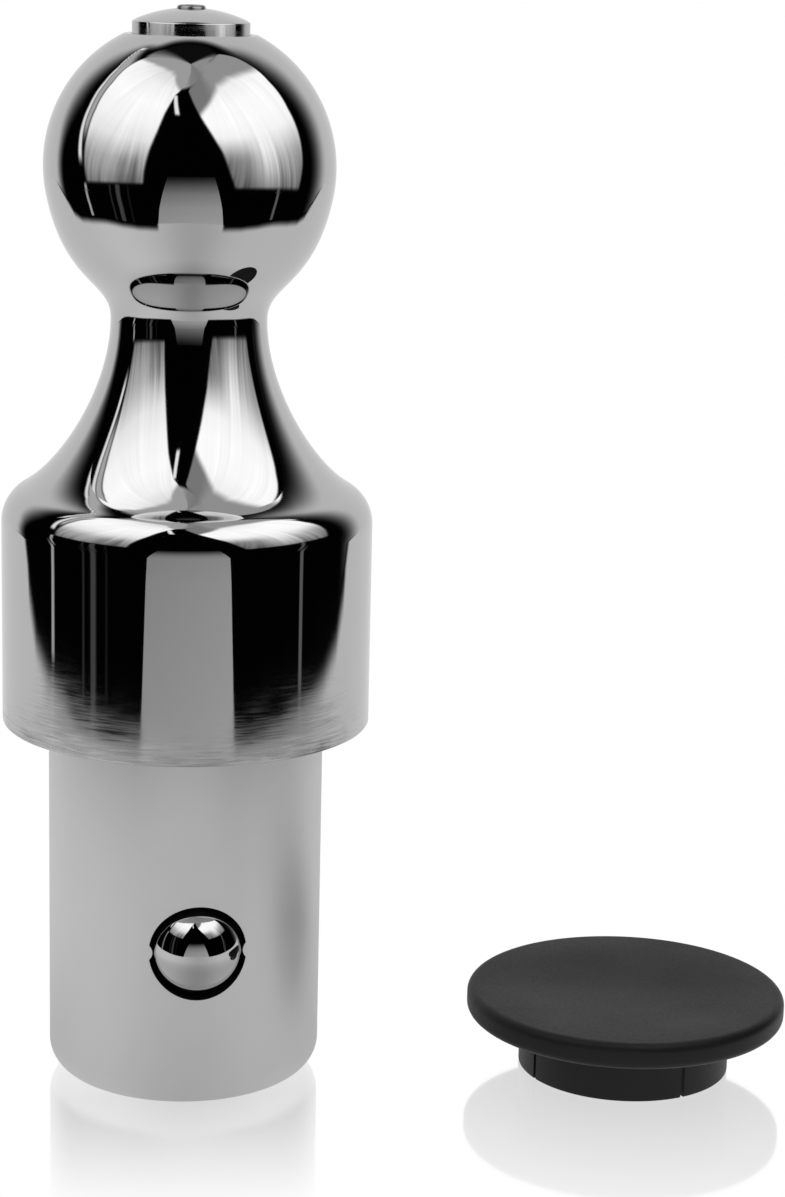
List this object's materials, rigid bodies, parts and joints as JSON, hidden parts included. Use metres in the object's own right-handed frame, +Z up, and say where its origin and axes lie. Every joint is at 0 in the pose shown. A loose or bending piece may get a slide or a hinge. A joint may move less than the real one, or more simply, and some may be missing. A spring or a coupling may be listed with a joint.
{
  "type": "gooseneck hitch ball",
  "caption": "Chrome gooseneck hitch ball with a push-button release, spring-backed locking balls in its shank, and a black plastic cover for the receiver hole.",
  "frame": {"origin": "centre of the shank's flat foot", "axes": "+Z up the ball's axis to the push button, -Y out through the front locking ball, +X towards the side where the hole cover stands"},
  "size_m": [0.1661, 0.0841, 0.2223],
  "materials": {
    "chrome_plate": "mirror polished",
    "bearing_steel": "mirror polished",
    "turned_steel": "turned, oiled",
    "zinc_steel": "zinc plated",
    "spring_steel": "drawn wire",
    "bearing_bronze": "turned",
    "seal_rubber": "matte",
    "cover_plastic": "moulded, satin"
  },
  "bodies": {
    "hitch_ball": {"hitch_ball_body": "chrome_plate", "rod_guide_bush": "bearing_bronze", "return_spring": "spring_steel", "end_plug": "zinc_steel", "retaining_ring": "spring_steel"},
    "plunger": {"push_button": "chrome_plate", "button_screw": "zinc_steel", "button_seal": "seal_rubber", "release_rod": "turned_steel", "cam_spool": "turned_steel", "spool_washer": "zinc_steel", "lock_nut": "zinc_steel"},
    "front_locking_ball": {"locking_ball_front": "bearing_steel"},
    "rear_locking_ball": {"locking_ball_rear": "bearing_steel"},
    "cover": {"hole_cover": "cover_plastic"}
  },
  "joints": [
    {"name": "button_press", "type": "slide", "parent": "hitch_ball", "child": "plunger", "axis": [0, 0, -1], "range_m": [0, 0.009], "stiffness_N_per_m": 1700, "springref_m": -0.012, "deforming": ["return_spring"]},
    {"name": "front_ball_retract", "type": "slide", "parent": "hitch_ball", "child": "front_locking_ball", "axis": [0, 1, 0], "range_m": [0, 0.0047]},
    {"name": "rear_ball_retract", "type": "slide", "parent": "hitch_ball", "child": "rear_locking_ball", "axis": [0, -1, 0], "range_m": [0, 0.0047]},
    {"name": "cover_lift", "type": "slide", "parent": "hitch_ball", "child": "cover", "axis": [0, 0, 1], "range_m": [0, 0.1]}
  ],
  "couplings": [
    {"joint": "front_ball_retract", "follows": "button_press", "ratio": 0.52},
    {"joint": "rear_ball_retract", "follows": "button_press", "ratio": 0.52}
  ]
}
